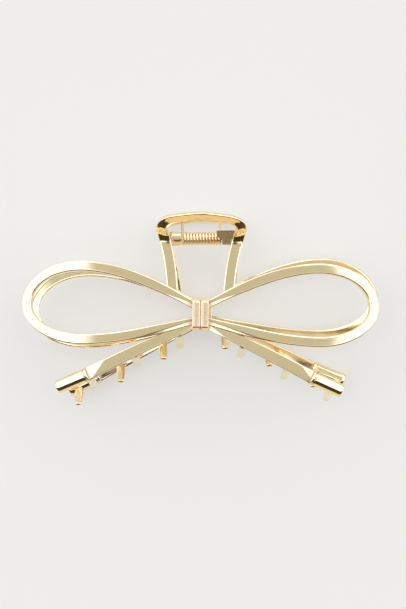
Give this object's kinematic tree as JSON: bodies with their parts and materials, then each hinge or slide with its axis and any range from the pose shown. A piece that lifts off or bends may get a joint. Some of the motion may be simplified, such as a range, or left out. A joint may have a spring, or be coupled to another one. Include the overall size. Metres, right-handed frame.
{
  "type": "claw clip",
  "caption": "Bow-shaped spring claw clip for hair, two toothed halves hinged on a pin with a torsion spring.",
  "frame": {"origin": "middle of the bottom of the closed clip's box, on the surface that its rear half lies on", "axes": "+X along the clip's length and hinge, +Y from the tails to the handles, +Z from the rear half to the front half, up off the surface"},
  "size_m": [0.1076, 0.0574, 0.0303],
  "materials": {
    "knot_gold": "polished light gold plating",
    "bow_gold": "polished light gold plating",
    "tail_gold": "polished light gold plating",
    "cap_gold": "polished light gold plating",
    "teeth_gold": "polished light gold plating",
    "handle_gold": "polished light gold plating",
    "lug_gold": "polished light gold plating",
    "pin_steel": "gold-plated steel pin",
    "spring_steel": "gold-plated spring wire"
  },
  "bodies": {
    "rear_half": {"rear_knot": "knot_gold", "rear_loop_left": "bow_gold", "rear_loop_right": "bow_gold", "rear_tail_left": "tail_gold", "rear_tail_right": "tail_gold", "rear_cap_left": "cap_gold", "rear_cap_right": "cap_gold", "rear_teeth_left": "teeth_gold", "rear_teeth_right": "teeth_gold", "rear_handle": "handle_gold", "rear_outer_lug": "lug_gold", "rear_inner_lug": "lug_gold", "hinge_pin": "pin_steel", "torsion_spring": "spring_steel"},
    "front_half": {"front_knot": "knot_gold", "front_loop_left": "bow_gold", "front_loop_right": "bow_gold", "front_tail_left": "tail_gold", "front_tail_right": "tail_gold", "front_cap_left": "cap_gold", "front_cap_right": "cap_gold", "front_teeth_left": "teeth_gold", "front_teeth_right": "teeth_gold", "front_handle": "handle_gold", "front_outer_lug": "lug_gold", "front_inner_lug": "lug_gold"}
  },
  "joints": [
    {"name": "jaw_hinge", "type": "hinge", "parent": "rear_half", "child": "front_half", "pos_m": [0, 0.02097, 0.01515], "axis": [-1, 0, 0], "range_deg": [0, 100], "stiffness_Nm_per_rad": 0.031, "springref_deg": -85.94, "deforming": ["torsion_spring"]}
  ]
}
